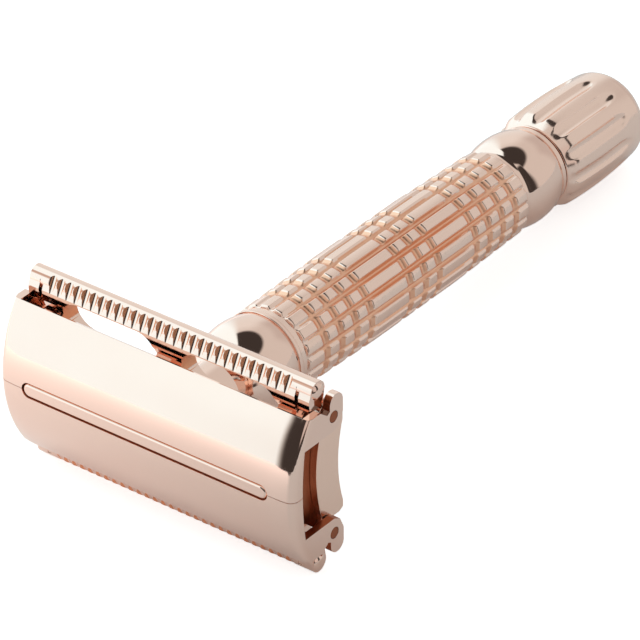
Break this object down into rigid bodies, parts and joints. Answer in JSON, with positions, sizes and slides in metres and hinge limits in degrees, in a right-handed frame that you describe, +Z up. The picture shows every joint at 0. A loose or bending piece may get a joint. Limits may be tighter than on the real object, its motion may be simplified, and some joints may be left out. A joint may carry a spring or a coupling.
{
  "type": "safety razor",
  "caption": "Butterfly-opening double-edge safety razor: curved twin-door head, scalloped guard bars, knurled handle, fluted twist knob.",
  "frame": {"origin": "on the surface that the razor lies on, below the centre of its bounding box", "axes": "+Z up, +Y from the head towards the foot of the handle, +X along the head; the handle's axis leans 4.6 degrees down towards the knob"},
  "size_m": [0.042, 0.0904, 0.025],
  "materials": {
    "rose_gold": "polished rose-gold plate on brass",
    "inner_brass": "turned",
    "inner_steel": "ground"
  },
  "bodies": {
    "handle": {"guard_plate": "rose_gold", "handle_collar": "rose_gold", "handle_barrel": "rose_gold", "handle_end_bead": "rose_gold", "guide_bush": "inner_brass", "thrust_washer": "inner_steel", "spring_washer": "inner_steel"},
    "carrier": {"blade_tray": "rose_gold", "centre_bar": "rose_gold", "end_bracket_right": "rose_gold", "end_bracket_left": "rose_gold", "hinge_pins": "rose_gold", "lift_rod": "inner_steel", "stop_ring": "inner_brass"},
    "upper_door": {"door_upper": "rose_gold"},
    "lower_door": {"door_lower": "rose_gold"},
    "twist_knob": {"knob": "rose_gold", "spindle": "inner_brass"}
  },
  "joints": [
    {"name": "knob_turn", "type": "hinge", "parent": "handle", "child": "twist_knob", "pos_m": [0, 0.03456, 0.00659], "axis": [0, 0.9968, -0.0803], "range_deg": [0, 300]},
    {"name": "carrier_lift", "type": "slide", "parent": "handle", "child": "carrier", "axis": [0, -0.9968, 0.0803], "range_m": [0, 0.0045]},
    {"name": "upper_door_swing", "type": "hinge", "parent": "carrier", "child": "upper_door", "pos_m": [0, -0.03709, 0.02009], "axis": [-1, 0, 0], "range_deg": [0, 70]},
    {"name": "lower_door_swing", "type": "hinge", "parent": "carrier", "child": "lower_door", "pos_m": [0, -0.03832, 0.00474], "axis": [1, 0, 0], "range_deg": [0, 70]}
  ],
  "couplings": [
    {"joint": "knob_turn", "follows": "carrier_lift", "rad_per_m": 1163.6},
    {"joint": "upper_door_swing", "follows": "carrier_lift", "rad_per_m": 271.5},
    {"joint": "lower_door_swing", "follows": "carrier_lift", "rad_per_m": 271.5}
  ]
}
